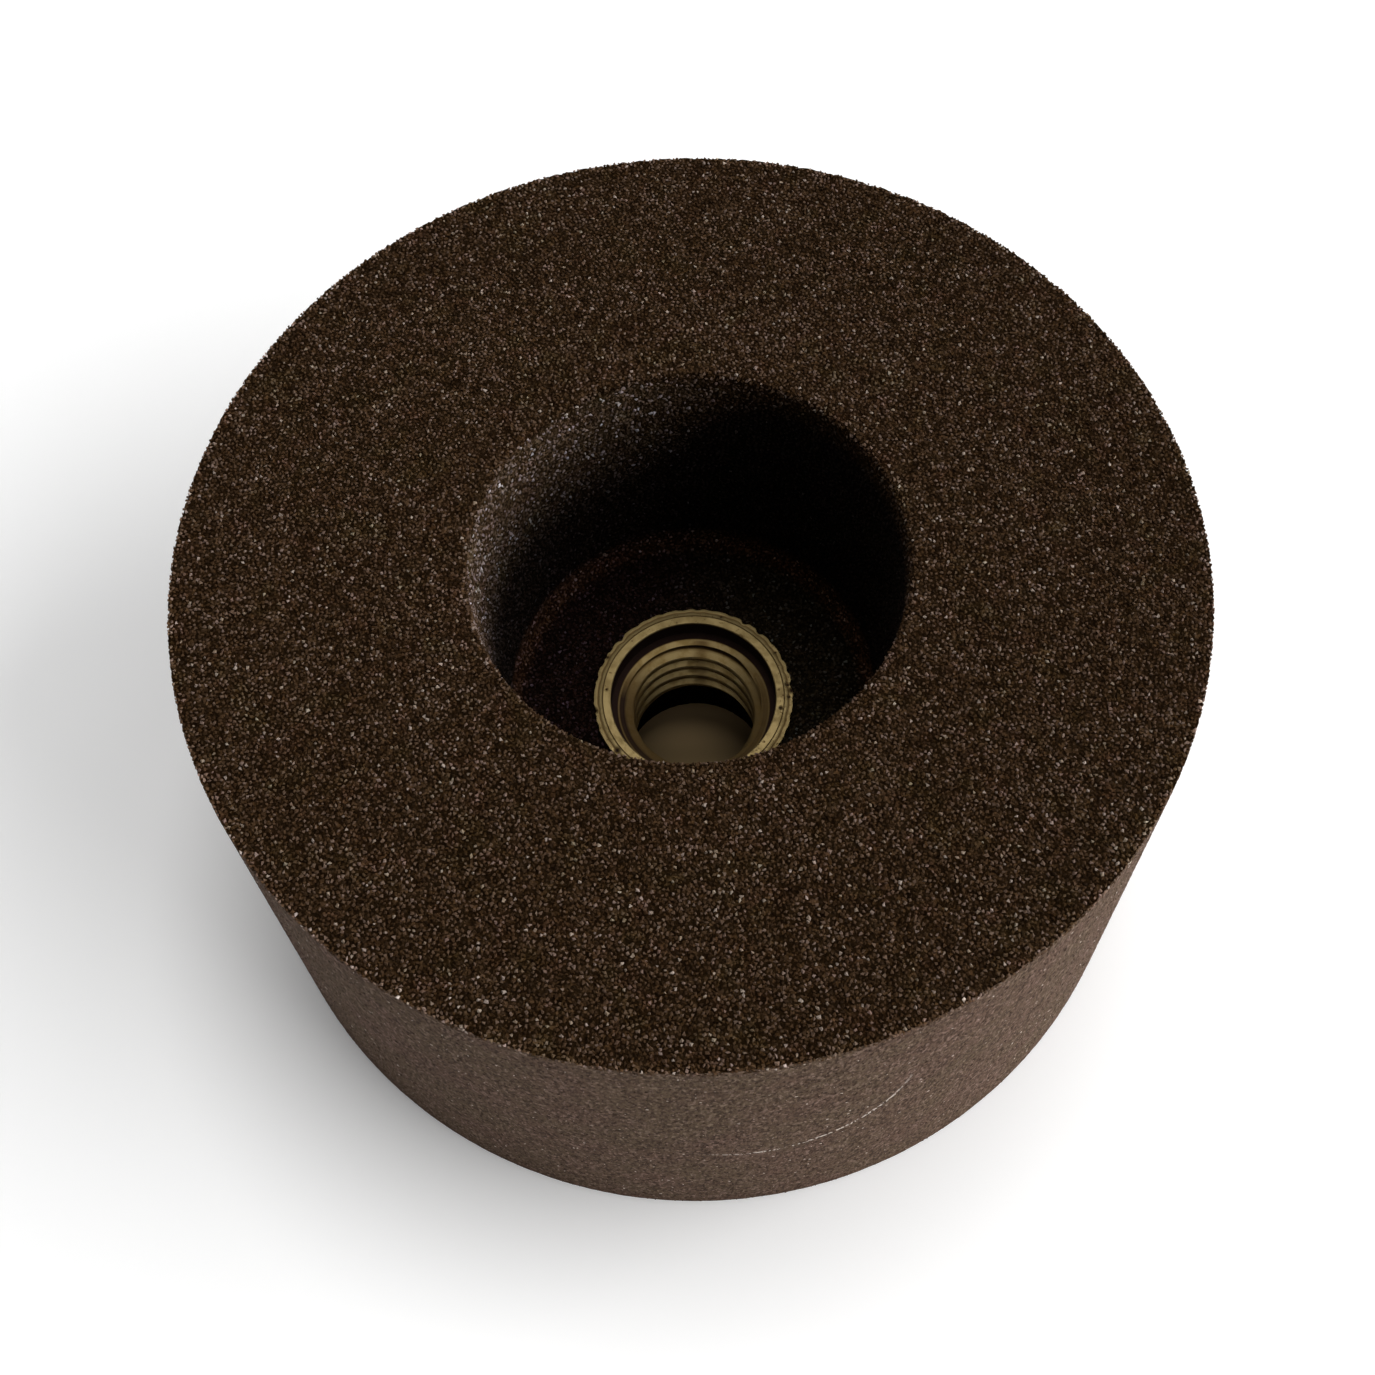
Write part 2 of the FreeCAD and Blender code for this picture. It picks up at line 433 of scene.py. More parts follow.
def steel_material(name, look):
    """Turned steel with a yellow passivation: dull on its ring, bright in its bore, darkened by dirt and
    painted shade in its grooves, on its counterbore wall and round its bore.
    """
    shader = Shader(name)
    wobble = shader.noise(1.2 * MM)
    marks = shader.maths("SINE", shader.from_axis() * (2 * math.pi / TOOL_FEED) + wobble * 4)
    dirt = shader.carried("dirt")
    stain = shader.smooth(shader.noise(1.3 * MM, detail=4, roughness=0.65), 0.42, 0.66)
    dull = shader.smooth(shader.z, BUSH_HIGH.z - look.counterbore_depth, BUSH_HIGH.z - 1.0 * MM)
    specks = shader.smooth(shader.noise(0.35 * MM, detail=2), 0.62, 0.72) * dull
    # the second colour is that of real stains on the steel
    clean, stain_and_shade = scaled(look.steel, 0.93, 0.93, 0.92), scaled(look.steel, 0.72, 0.64, 0.46)
    shade = shader.mix(stain * 0.7, clean, stain_and_shade)
    shade = shader.mix(dull, shader.tint(shade, (0.76, 0.74, 0.72)), shade)
    shade = shader.mix(dull * 0.75, shade, scaled(look.steel, 0.57, 0.56, 0.53))
    # real grime specks on the ring, with the mesh's dirt and painted shade
    grime_and_shade = shader.maths("MAXIMUM", dirt, specks * 0.5)
    shade = shader.mix(shader.smooth(grime_and_shade, 0.0, 0.5) * 0.75, shade, scaled(look.steel, 0.34, 0.26, 0.18))
    shade = shader.mix(shader.smooth(grime_and_shade, 0.4, 0.95), shade, (0.022, 0.012, 0.009))
    turned = shader.bump(marks, 0.004 * MM, 0.35)
    scuffed = shader.bump(shader.noise(0.25 * MM, detail=3), 0.012 * MM, 0.4, turned)
    return shader.finish(Base_Color=shade, Metallic=1 - grime_and_shade * 0.85 - dull * 0.15,
                         Roughness=0.38 + 0.15 * stain + 0.14 * dull + 0.3 * grime_and_shade, Specular_IOR_Level=0.04,
                         Normal=scuffed)


LEAST_POINTS = 24    # of a ring


def ring_points(stations, jitter, rng):
    """Turn (radius, height, spacing) stations into rings of points, each as fine as its spacing."""
    rings = []
    for index, (radius, height, spacing) in enumerate(stations):
        count = max(LEAST_POINTS, round(2 * math.pi * radius / spacing))
        loose = jitter * rng.uniform(-0.5, 0.5, count)
        angles = (np.arange(count) + 0.5 * (index % 2) + loose) * 2 * math.pi / count
        rings.append(np.stack([radius * np.cos(angles), radius * np.sin(angles), np.full(count, height)], 1))
    return rings


def zip_rings(first, second, first_start, second_start):
    """Join two rings of points by triangles, whatever their numbers of points."""
    near, far = len(first), len(second)
    step = np.arange(near)
    facing = -(-((step + 1) * far) // near) - 1
    on_first = np.stack([first_start + step, first_start + (step + 1) % near,
                         second_start + facing % far], 1)
    step = np.arange(far)
    facing = (step + 1) * near // far
    on_second = np.stack([second_start + (step + 1) % far, second_start + step,
                          first_start + facing % near], 1)
    return np.concatenate([on_first, on_second])


def mesh_of(name, points, faces):
    """Make a mesh from an array of points and a list of faces."""
    mesh = bpy.data.meshes.new(name)
    mesh.from_pydata(points.tolist(), [], faces)
    return mesh


def placed(mesh, name):
    """Put a mesh in the scene as an object at the origin."""
    made = bpy.data.objects.new(name, mesh)
    bpy.context.scene.collection.objects.link(made)
    return made


def walk(start, end, spacing):
    """Give evenly spaced (radius, height, spacing) points from start up to but not with end."""
    distance = math.dist(start, end)
    steps = max(1, round(distance / spacing))
    return [(start[0] + (end[0] - start[0]) * k / steps, start[1] + (end[1] - start[1]) * k / steps, spacing)
            for k in range(steps)]


def bend(corner, before, after, rounding, spacing):
    """Give the arc that rounds a corner, as (radius, height, spacing) points with both its ends."""
    corner, before, after = (Vector(point) for point in (corner, before, after))
    to_before = (before - corner).normalized()
    to_after = (after - corner).normalized()
    half_angle = to_before.angle(to_after) / 2
    reach = rounding / math.tan(half_angle)
    centre = corner + (to_before + to_after).normalized() * (rounding / math.sin(half_angle))
    start = corner + to_before * reach - centre
    turn = start.angle_signed(corner + to_after * reach - centre)
    steps = max(2, round(abs(turn) * rounding / spacing))
    spokes = [Matrix.Rotation(-turn * k / steps, 2) @ start for k in range(steps + 1)]
    return [(centre.x + spoke.x, centre.y + spoke.y, spacing) for spoke in spokes]


# How fine the wheel's skin is, stretch by stretch
FACE_MESH = 0.45 * MM
SIDE_MESH = 0.75 * MM
RECESS_MESH = 0.6 * MM
BACK_MESH = 1.15 * MM

# How far the skin lies inside the wheel's sizes, to leave room for its grains
GRAIN_INSET = 0.10 * MM
SIDE_INSET = 0.05 * MM
SOCKET_INSET = 0.5 * MM    # how far its socket reaches into the bush, which hides it


def wheel_stations(sizes):
    """Give the wheel's outline as named stretches of (radius, height, spacing), inner back edge first."""
    side_radius = sizes.radius - SIDE_INSET
    face = sizes.height - GRAIN_INSET
    recess_radius = sizes.recess_radius + GRAIN_INSET
    floor = sizes.back_thickness - GRAIN_INSET
    floor_radius = recess_radius - (face - floor) * math.tan(sizes.recess_draft)
    socket_radius = BUSH_HIGH.x - SOCKET_INSET
    hole = sizes.spindle_hole_radius
    edge = (side_radius, face)
    mouth = bend((recess_radius, face), edge, (floor_radius, floor), sizes.mouth_rounding, FACE_MESH)
    fillet = bend((floor_radius, floor), (recess_radius, face), (socket_radius, floor), sizes.floor_fillet,
                  RECESS_MESH)
    chamfer = (side_radius - sizes.back_chamfer, 0)
    chamfer_top = (side_radius, sizes.back_chamfer)
    return [
        ("back", walk((hole, 0), chamfer, BACK_MESH) + walk(chamfer, chamfer_top, SIDE_MESH)),
        ("side", walk(chamfer_top, edge, SIDE_MESH)),
        ("face", walk(edge, mouth[0][:2], FACE_MESH) + mouth),
        ("recess", walk(mouth[-1][:2], fillet[0][:2], RECESS_MESH)[1:] + fillet
         + walk(fillet[-1][:2], (socket_radius, floor), RECESS_MESH)[1:]),
        ("socket", walk((socket_radius, floor), (socket_radius, BUSH_LOW.z), BACK_MESH)
         + walk((socket_radius, BUSH_LOW.z), (hole, BUSH_LOW.z), BACK_MESH)
         + walk((hole, BUSH_LOW.z), (hole, 0), BACK_MESH)),
    ]


# How deep each stretch is roughened, and which of the wheel's materials it has
ROUGHNESS = {"back": 0.03 * MM, "side": 0.03 * MM, "face": 0.20 * MM, "recess": 0.16 * MM,
             "socket": 0.10 * MM}
FACE_BOND, MOULDED_SIDE, RECESS_BOND = range(3)
MATERIAL_OF = {"back": MOULDED_SIDE, "side": MOULDED_SIDE, "face": FACE_BOND, "recess": RECESS_BOND,
               "socket": RECESS_BOND}

# The chips in the outer edge of the grinding face
EDGE_WEAR = 0.8 * MM    # how far from the edge they reach
CHIP_DEPTH = 0.14 * MM
CHIP_COUNT = 260


def inwards_at(stations):
    """Give the direction into the wheel's section at each station, as its outward and upward parts."""
    outline = np.array([station[:2] for station in stations])
    along = np.roll(outline, -1, 0) - np.roll(outline, 1, 0)
    inwards = np.stack([-along[:, 1], along[:, 0]], 1)
    inwards /= np.linalg.norm(inwards, axis=1)[:, None]
    return inwards


def wheel_mesh(sizes, seed):
    """Make the wheel as one closed skin of fine rings, roughened inwards, with its stretches told apart."""
    rng = np.random.default_rng(seed)
    stations = []
    stretches = []
    for stretch, points in wheel_stations(sizes):
        stations += points
        stretches += [stretch] * len(points)
    inwards = inwards_at(stations)
    rings = ring_points(stations, 0.5, rng)
    points, triangles, material = [], [], []
    starts = np.cumsum([0] + [len(ring) for ring in rings])
    knots = np.linspace(0, math.tau, CHIP_COUNT)
    chips = rng.random(CHIP_COUNT) ** 4
    for index, (ring, stretch) in enumerate(zip(rings, stretches)):
        place = stations[index][:2]
        depth = ROUGHNESS[stretch] * rng.random(len(ring)) ** 1.5
        from_edge = math.dist(place, (sizes.radius, sizes.height))
        if from_edge < EDGE_WEAR:
            around = np.arctan2(ring[:, 1], ring[:, 0]) % math.tau
            worn = np.interp(around, knots, chips) + 0.2 * rng.random(len(ring))
            depth = depth + CHIP_DEPTH * worn * (1 - from_edge / EDGE_WEAR)
        on_back_face = stretch == "back" and place[1] == 0
        outward, upward = (0, 1) if on_back_face else inwards[index]
        spread = ring[:, :2] / np.linalg.norm(ring[:, :2], axis=1)[:, None]
        moved = ring.copy()
        moved[:, :2] += spread * (outward * depth)[:, None]
        moved[:, 2] += upward * depth
        points.append(moved)
        after = (index + 1) % len(rings)
        made = zip_rings(ring, rings[after], starts[index], starts[after])
        triangles.append(made)
        material.append(np.full(len(made), MATERIAL_OF[stretch]))
    mesh = mesh_of("wheel", np.concatenate(points), np.concatenate(triangles).tolist())
    mesh.polygons.foreach_set("material_index", np.concatenate(material).astype(np.int32))
    return mesh


def stretch_sheet(sizes, stretch, keep=None):
    """Make the bare surface of one stretch of the wheel, or the part of it whose triangles a test keeps."""
    stretches = dict(wheel_stations(sizes))
    stations = stretches[stretch]
    if stretch == "face":
        stations = stretches["side"][-1:] + stations
    if stretch == "recess":
        stations = stretches["face"][-1:] + stations
    rings = ring_points(stations, 0, np.random.default_rng(0))
    starts = np.cumsum([0] + [len(ring) for ring in rings])
    points = np.concatenate(rings)
    triangles = np.concatenate([zip_rings(ring, following, starts[index], starts[index + 1])
                                for index, (ring, following) in enumerate(zip(rings, rings[1:]))])
    if keep is not None:
        triangles = triangles[keep(points[triangles].mean(1))]
    return mesh_of(stretch, points, triangles.tolist())


UNEVEN = 0.35    # how far a corner of a grain is moved, as a share of the grain's half length


def grain_tree(name, material):
    """Set random angular grains on a surface, each with its own tone, and keep them within the wheel."""
    tree = bpy.data.node_groups.new(name, "GeometryNodeTree")
    interface = tree.interface
    interface.new_socket("Surface", in_out="INPUT", socket_type="NodeSocketGeometry")
    for label in ("Spacing", "Smallest", "Largest", "Sink", "Radius", "Height"):
        interface.new_socket(label, in_out="INPUT", socket_type="NodeSocketFloat")
    interface.new_socket("Seed", in_out="INPUT", socket_type="NodeSocketInt")
    interface.new_socket("Grains", in_out="OUTPUT", socket_type="NodeSocketGeometry")
    nodes = Nodes(tree)

    def random_vector(low, high, seed):
        """Give each point a vector of its own between two."""
        return nodes.node("FunctionNodeRandomValue", {"data_type": "FLOAT_VECTOR"},
                          {"Min": low, "Max": high, "Seed": seed})

    def alike(part):
        """Give a vector of three like parts."""
        return nodes.node("ShaderNodeCombineXYZ", inputs={0: part, 1: part, 2: part})

    given = nodes.node("NodeGroupInput").socket.node
    surface, spacing, smallest, largest, sink, radius, height, seed = (
        Value(nodes, socket) for socket in given.outputs[:8])
    spread = nodes.node("GeometryNodeDistributePointsOnFaces", {"distribute_method": "POISSON"},
                        {"Mesh": surface, "Distance Min": spacing, "Density Max": 4 / (spacing * spacing),
                         "Seed": seed}).socket.node
    points, normal = (Value(nodes, spread.outputs[label]) for label in ("Points", "Normal"))
    sunk = nodes.node("ShaderNodeVectorMath", {"operation": "SCALE"}, {0: normal, "Scale": 0 - sink})
    points = nodes.node("GeometryNodeSetPosition", inputs={"Geometry": points, "Offset": sunk})
    grain = nodes.node("GeometryNodeMeshUVSphere", inputs={"Segments": 4, "Rings": 2, "Radius": 1})
    skew = random_vector((-UNEVEN,) * 3, (UNEVEN,) * 3, 3)
    grain = nodes.node("GeometryNodeSetPosition", inputs={"Geometry": grain, "Offset": skew})
    turn = random_vector((0, 0, 0), (math.tau,) * 3, seed + 1)
    turn = nodes.node("FunctionNodeEulerToRotation", inputs={0: turn})
    size = random_vector(alike(smallest), alike(largest), seed + 2)
    grains = nodes.node("GeometryNodeInstanceOnPoints",
                        inputs={"Points": points, "Instance": grain, "Rotation": turn, "Scale": size})
    tone = nodes.node("FunctionNodeRandomValue", {"data_type": "FLOAT"}, {"Seed": seed + 3}, output=1)
    grains = nodes.node("GeometryNodeStoreNamedAttribute", {"data_type": "FLOAT", "domain": "INSTANCE"},
                        {"Geometry": grains, "Name": "tone", "Value": tone})
    grains = nodes.node("GeometryNodeRealizeInstances", inputs={"Geometry": grains})
    place = nodes.node("GeometryNodeInputPosition")
    split = nodes.node("ShaderNodeSeparateXYZ", inputs={0: place}).socket.node
    x, y, z = (Value(nodes, socket) for socket in split.outputs)
    pull = nodes.maths("MINIMUM", 1, radius / (x * x + y * y) ** 0.5)
    kept = nodes.node("ShaderNodeCombineXYZ",
                      inputs={0: x * pull, 1: y * pull, 2: nodes.maths("MINIMUM", z, height)})
    grains = nodes.node("GeometryNodeSetPosition", inputs={"Geometry": grains, "Position": kept})
    grains = nodes.node("GeometryNodeSetMaterial", inputs={"Geometry": grains, "Material": material})
    nodes.node("NodeGroupOutput", inputs={0: grains})
    return tree


# How far the grains stay inside the wheel's radius and height
SIDE_CLEARANCE = 0.02 * MM
FACE_CLEARANCE = 0.005 * MM


def grown(name, surface, tree, sizes, **values):
    """Run a tree on a surface and give back its result as a plain mesh object."""
    values.update(Radius=sizes.radius - SIDE_CLEARANCE, Height=sizes.height - FACE_CLEARANCE)
    carrier = placed(surface, name + "_surface")
    modifier = carrier.modifiers.new(name, "NODES")
    modifier.node_group = tree
    sockets = {item.name: item.identifier for item in tree.interface.items_tree if item.in_out == "INPUT"}
    for label, value in values.items():
        modifier[sockets[label]] = value
    evaluated = carrier.evaluated_get(bpy.context.evaluated_depsgraph_get())
    mesh = bpy.data.meshes.new_from_object(evaluated)
    carrier.modifiers.remove(modifier)
    bpy.data.objects.remove(carrier)
    mesh.name = name
    return placed(mesh, name)


def grow_halves(name, stretch, tree, sizes, seed, **values):
    """Grow the grains of one stretch as two pieces, its front half and its rear half."""
    halves = {"front": lambda middles: middles[:, 1] < 0,
              "rear": lambda middles: middles[:, 1] >= 0}
    for number, (half, keep) in enumerate(halves.items()):
        grains = grown(f"{name}_{half}", stretch_sheet(sizes, stretch, keep), tree, sizes,
                       Seed=seed + 100 * number, **values)
        dress(grains, "abrasive_body")


# The bush's grid, its thread and the cone above the thread
BUSH_SEED = 11
COLUMNS_PER_TOOTH = 10
ROWS_PER_TURN = 14
CREST_HEIGHT = 15.0 * MM     # of one ridge, on the rear side of the bore
CREST_ANGLE = math.pi / 2
RIDGE_DEPTH = 0.49           # as a share of the pitch
HALF_CREST_FLAT = 0.09       # as a share of the pitch
FLANK_ANGLE = math.radians(30)
CONE_ANGLE = math.radians(30)
BACK_LEAD_IN = 0.3 * MM      # how much wider than the thread its lower end opens


def thread_radius_at(height, angle, look, crest_radius):
    """Give the radius of the thread at a height and an angle: flats at crest and root, 60 degrees between."""
    pitch = look.thread_pitch
    phase = ((height - CREST_HEIGHT) / pitch - (angle - CREST_ANGLE) / math.tau + 0.5) % 1
    from_crest = np.abs(phase - 0.5) * pitch
    depth = look.thread_radius - crest_radius
    return crest_radius + np.clip((from_crest - HALF_CREST_FLAT * pitch) / math.tan(FLANK_ANGLE), 0, depth)


def knurled_rim(look, angle, rng):
    """Give the rim's radius at each angle: shallow uneven notches between the teeth, and a chipped edge."""
    knots = np.linspace(0, math.tau, 130)
    chips = rng.random(len(knots)) ** 5
    chips[-1] = chips[0]
    pitches = angle * look.knurl_teeth / math.tau
    # 1 on the tip of a tooth and 0 at the bottom of a notch
    tooth = np.clip(np.abs(pitches % 1 - 0.5) * 5 - 0.5, 0, 1)
    notch = (0.03 + 0.5 * rng.random(look.knurl_teeth) ** 2)[pitches.astype(int)]
    chipped = np.interp(angle, knots, chips) * 0.25 * MM
    return BUSH_HIGH.x - look.knurl_depth * (1 - tooth) * notch - chipped


def painted_bore_shade_at(angle):
    """Give the bore's painted shade at each angle: none at the rear but a painted dark reflection, and most
    on the left.
    """
    unshaded_half, fade = 42, 38            # degrees from the rear
    reflection_middle, reflection_width = 81, 7    # degrees
    turn = np.degrees(angle)
    from_rear = np.abs(turn - 90)
    from_rear = np.minimum(from_rear, 360 - from_rear)
    at_sides = np.clip((from_rear - unshaded_half) / fade, 0, 1) * (0.80 - 0.16 * np.cos(angle))
    painted_reflection = np.exp(-((turn - reflection_middle) / reflection_width) ** 2) * 0.55
    return np.maximum(at_sides, painted_reflection)


def outside_rows(look, rim, stain_and_shade):
    """Give (radius, height, dirt and painted shade) rows up the outside, over the ring and down the
    counterbore and cone.
    """
    top, bottom = BUSH_HIGH.z, BUSH_LOW.z
    below_slope = 0.15 * MM
    for share in np.linspace(0, 1, 5):
        yield rim, bottom + (top - look.ring_slope_height - below_slope - bottom) * share, 0

    flat_edge = BUSH_HIGH.x - look.ring_slope_width
    slope = look.ring_slope_height / look.ring_slope_width
    groove_depth = 0.04 * MM
    for share in np.linspace(0, 1, 9):
        radius = rim + (flat_edge - rim) * share
        groove = math.exp(-((share - 0.5) / 0.13) ** 2)
        yield radius, top - (radius - flat_edge) * slope - groove * groove_depth, groove * 0.5

    line = 0.06 * MM    # width of each side of the dark line round the flat face
    yield flat_edge - line, top - 0.07 * MM, 0.75
    yield flat_edge - 2 * line, top - 0.01 * MM, 0.3

    flat_start = flat_edge - 3 * line
    counterbore = look.counterbore_radius
    edge_break = 0.12 * MM
    for share in np.linspace(0, 1, 8):
        yield flat_start - (flat_start - counterbore - edge_break) * share, top, 0
    yield counterbore + edge_break * 0.3, top - edge_break * 0.3, 0
    yield counterbore, top - edge_break, 0
    for share in np.linspace(0.12, 1, 6):
        # painted shade: the counterbore wall is made fully dark
        yield counterbore, top - edge_break - (look.counterbore_depth - edge_break) * share, 1

    cone = math.tan(CONE_ANGLE)
    cone_top = top - look.counterbore_depth
    for share in np.linspace(0.1, 0.95, 8):
        radius = counterbore - (counterbore - look.thread_radius) * share
        # painted shade on the upper half of the cone; lower down, the painted shade round the bore
        dirt = np.maximum(float(share < 0.5), stain_and_shade * (0.3 if share < 0.65 else 0.9))
        yield radius, cone_top - (counterbore - radius) * cone, dirt


def thread_rows(look, angle, stain_and_shade):
    """Give (radius, height, dirt and painted shade) rows that rise with the thread, from the cone down to the
    lower end.
    """
    bottom = BUSH_LOW.z
    pitch = look.thread_pitch
    cone = math.tan(CONE_ANGLE)
    top = BUSH_HIGH.z - look.counterbore_depth - (look.counterbore_radius - look.thread_radius) * cone
    crest_radius = look.thread_radius - RIDGE_DEPTH * pitch
    back_radius = look.thread_radius + BACK_LEAD_IN
    root_dirt_and_shade = 0.3 * MM    # how far from the root the dirt and painted shade fade out
    turns = (top - bottom) / pitch
    for number in range(math.ceil((turns + 1) * ROWS_PER_TURN) + 1):
        height = top - (number / ROWS_PER_TURN) * pitch
        height = np.clip(height + pitch * angle / math.tau, bottom, top)
        thread = thread_radius_at(height, angle, look, crest_radius)
        lead_in = look.thread_radius - (top - height) / cone
        back = back_radius - (height - bottom)
        radius = np.maximum(thread, np.maximum(lead_in, back))
        # the thread's roots darken: partly dirt, partly painted shade under each crest
        in_root = np.clip((radius - look.thread_radius + root_dirt_and_shade) / root_dirt_and_shade, 0, 1)
        dirt = np.maximum(0.7 * in_root * (height < top), stain_and_shade * (0.55 + 0.45 * in_root))
        yield radius, height, dirt


# Dents in the ring: degrees from the right, then millimetres from the axis, across and deep
DENTS = (
    (1.6, 11.0, 0.26, 0.30), (44.5, 11.0, 0.22, 0.28), (-11.1, 9.84, 0.19, 0.2), (70.0, 10.51, 0.2, 0.16),
    (5.2, 10.62, 0.22, 0.22), (-3.0, 10.65, 0.16, 0.18), (172.0, 9.75, 0.14, 0.1), (215.0, 10.6, 0.3, 0.2),
    (186.0, 10.95, 0.2, 0.2), (150.0, 10.9, 0.2, 0.2), (28.0, 10.7, 0.2, 0.12), (247.0, 10.2, 0.22, 0.15),
    (305.0, 10.8, 0.25, 0.2),
)


def dented(look, angle, radius, height, dirt):
    """Sink the dents into the ring and darken them."""
    spots = np.stack([radius * np.cos(angle), radius * np.sin(angle)], -1)
    on_ring = height > BUSH_HIGH.z - look.ring_slope_height - 0.2 * MM
    for degrees, from_axis, size, depth in DENTS:
        turn = math.radians(degrees)
        middle = np.array([math.cos(turn), math.sin(turn)]) * from_axis * MM
        near = np.exp(-((np.linalg.norm(spots - middle, axis=-1) / (size * MM)) ** 2)) * on_ring
        height = height - near * depth * MM
        dirt = np.maximum(dirt, np.clip(near * 1.6 - 0.3, 0, 1))
    return height, dirt


def grid_faces(index, first_thread):
    """Join a grid of points; from the last column on, a thread row runs into the row one turn above it."""
    turned = np.roll(index, -1, 1)
    seam = turned.copy()
    row = np.arange(len(index))
    partner = np.where(row >= first_thread, np.maximum(row - ROWS_PER_TURN, first_thread), row)
    seam[:, -1] = index[partner, 0]
    quads = np.stack([index[:-1], index[1:], seam[1:], seam[:-1]], -1).reshape(-1, 4)
    closing = np.stack([index[-1], index[0], turned[0], seam[-1]], -1)
    faces = np.concatenate([quads, closing]).tolist()
    return [face[:3] if face[2] == face[3] else face for face in faces]


def bush_mesh(look):
    """Make the bush as one closed grid: columns round the axis, rows round its section."""
    columns = look.knurl_teeth * COLUMNS_PER_TOOTH
    angle = np.arange(columns) * math.tau / columns
    # painted shade round the bore, with a painted dark reflection near the rear
    stain_and_shade = painted_bore_shade_at(angle)
    rim = knurled_rim(look, angle, np.random.default_rng(BUSH_SEED))
    outside = list(outside_rows(look, rim, stain_and_shade))
    rows = outside + list(thread_rows(look, angle, stain_and_shade))
    full = np.ones(columns)
    radius, height, dirt = (np.stack([full * part for part in parts]) for parts in zip(*rows))
    height, dirt = dented(look, angle, radius, height, dirt)
    points = np.stack([radius * np.cos(angle), radius * np.sin(angle), height], -1).reshape(-1, 3)
    index = np.arange(len(points)).reshape(len(rows), columns)
    mesh = mesh_of("bush", points, grid_faces(index, len(outside)))
    layer = mesh.attributes.new("dirt", "FLOAT", "POINT")
    layer.data.foreach_set("value", dirt.reshape(-1).astype(np.float32))
    tidy(mesh)
    return mesh


SAME_PLACE = 1e-7    # points closer than this are one
NO_LENGTH = 1e-8     # edges shorter than this are none


def tidy(mesh):
    """Merge the points that fell together, drop empty faces and turn every face outwards."""
    work = bmesh.new()
    work.from_mesh(mesh)
    bmesh.ops.remove_doubles(work, verts=work.verts, dist=SAME_PLACE)
    bmesh.ops.dissolve_degenerate(work, edges=work.edges, dist=NO_LENGTH)
    bmesh.ops.triangulate(work, faces=work.faces)
    bmesh.ops.recalc_face_normals(work, faces=work.faces)
    work.to_mesh(mesh)
    work.free()


def dress(piece, node):
    """Let a piece ride with the wheel, in place of the node it stands for."""
    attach(piece, BODY)
    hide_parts(node)


class CUPWHEEL_OT_wheel(bpy.types.Operator):
    """Make the moulded wheel as one closed skin"""

    bl_idname = "cupwheel.wheel"
    bl_label = "Moulded Wheel"

    def execute(self, context):
        sizes, look = context.scene.wheel_sizes, context.scene.grain_look
        wheel = placed(wheel_mesh(sizes, look.seed), "moulded_wheel")
        # In the order of FACE_BOND, MOULDED_SIDE and RECESS_BOND
        for material in (bond_material("face_bond", look, sizes), side_material("moulded_side", look, sizes),
                         bond_material("recess_bond", look, sizes, in_recess=True)):
            wheel.data.materials.append(material)
        dress(wheel, "abrasive_body")
        return {"FINISHED"}


class CUPWHEEL_OT_face_grains(bpy.types.Operator):
    """Set the grains of the grinding face, in a front half and a rear half"""

    bl_idname = "cupwheel.face_grains"
    bl_label = "Face Grains"

    def execute(self, context):
        sizes, look = context.scene.wheel_sizes, context.scene.grain_look
        tree = grain_tree("face_grains", grain_material("face_grain", look, sizes))
        grow_halves("face_grains", "face", tree, sizes, look.seed, Spacing=look.spacing,
                    Smallest=look.grain_size * 0.5, Largest=look.grain_size, Sink=0.06 * MM)
        return {"FINISHED"}


class CUPWHEEL_OT_recess_grains(bpy.types.Operator):
    """Set the grains on the wall and the floor of the recess"""

    bl_idname = "cupwheel.recess_grains"
    bl_label = "Recess Grains"

    def execute(self, context):
        sizes, look = context.scene.wheel_sizes, context.scene.grain_look
        tree = grain_tree("recess_grains", grain_material("recess_grain", look, sizes, in_recess=True))
        grains = grown("recess_grains", stretch_sheet(sizes, "recess"), tree, sizes,
                       Spacing=look.recess_spacing, Smallest=look.grain_size * 0.6,
                       Largest=look.grain_size * 1.2, Sink=0.12 * MM, Seed=look.seed + 300)
        dress(grains, "abrasive_body")
        return {"FINISHED"}


class CUPWHEEL_OT_side_grains(bpy.types.Operator):
    """Set the grains that show through the moulded side, in a front half and a rear half"""

    bl_idname = "cupwheel.side_grains"
    bl_label = "Side Grains"

    def execute(self, context):
        sizes, look = context.scene.wheel_sizes, context.scene.grain_look
        tree = grain_tree("side_grains", side_material("side_grain", look, sizes, loose=True))
        grow_halves("side_grains", "side", tree, sizes, look.seed + 500, Spacing=look.side_spacing,
                    Smallest=0.12 * MM, Largest=0.25 * MM, Sink=0.08 * MM)
        return {"FINISHED"}


class CUPWHEEL_OT_bush(bpy.types.Operator):
    """Turn and thread the steel bush"""

    bl_idname = "cupwheel.bush"
    bl_label = "Threaded Bush"

    def execute(self, context):
        look = context.scene.bush_look
        bush = placed(bush_mesh(look), "steel_bush")
        bush.data.materials.append(steel_material("turned_steel", look))
        dress(bush, "threaded_bush")
        return {"FINISHED"}


class CUPWHEEL_OT_stage(bpy.types.Operator):
    """Set the floor, the light and the camera"""

    bl_idname = "cupwheel.stage"
    bl_label = "Stage"

    def execute(self, context):
        look = context.scene.stage_look
        scene = context.scene
        scene.view_settings.view_transform = "Standard"
        lay_floor(look)
        light_world(scene, look)
        shine("key_light", look.key, azimuth=-10, elevation=24, softness=66)
        shine("fill_light", look.fill, azimuth=-10, elevation=28, softness=90)
        shine("top_light", look.top, azimuth=72, elevation=77, softness=24)
        shine("rear_light", look.rear, azimuth=110, elevation=50, softness=50)
        shine("front_light", look.front, azimuth=-95, elevation=66, softness=40)
        scene.camera = photo_camera()
        return {"FINISHED"}


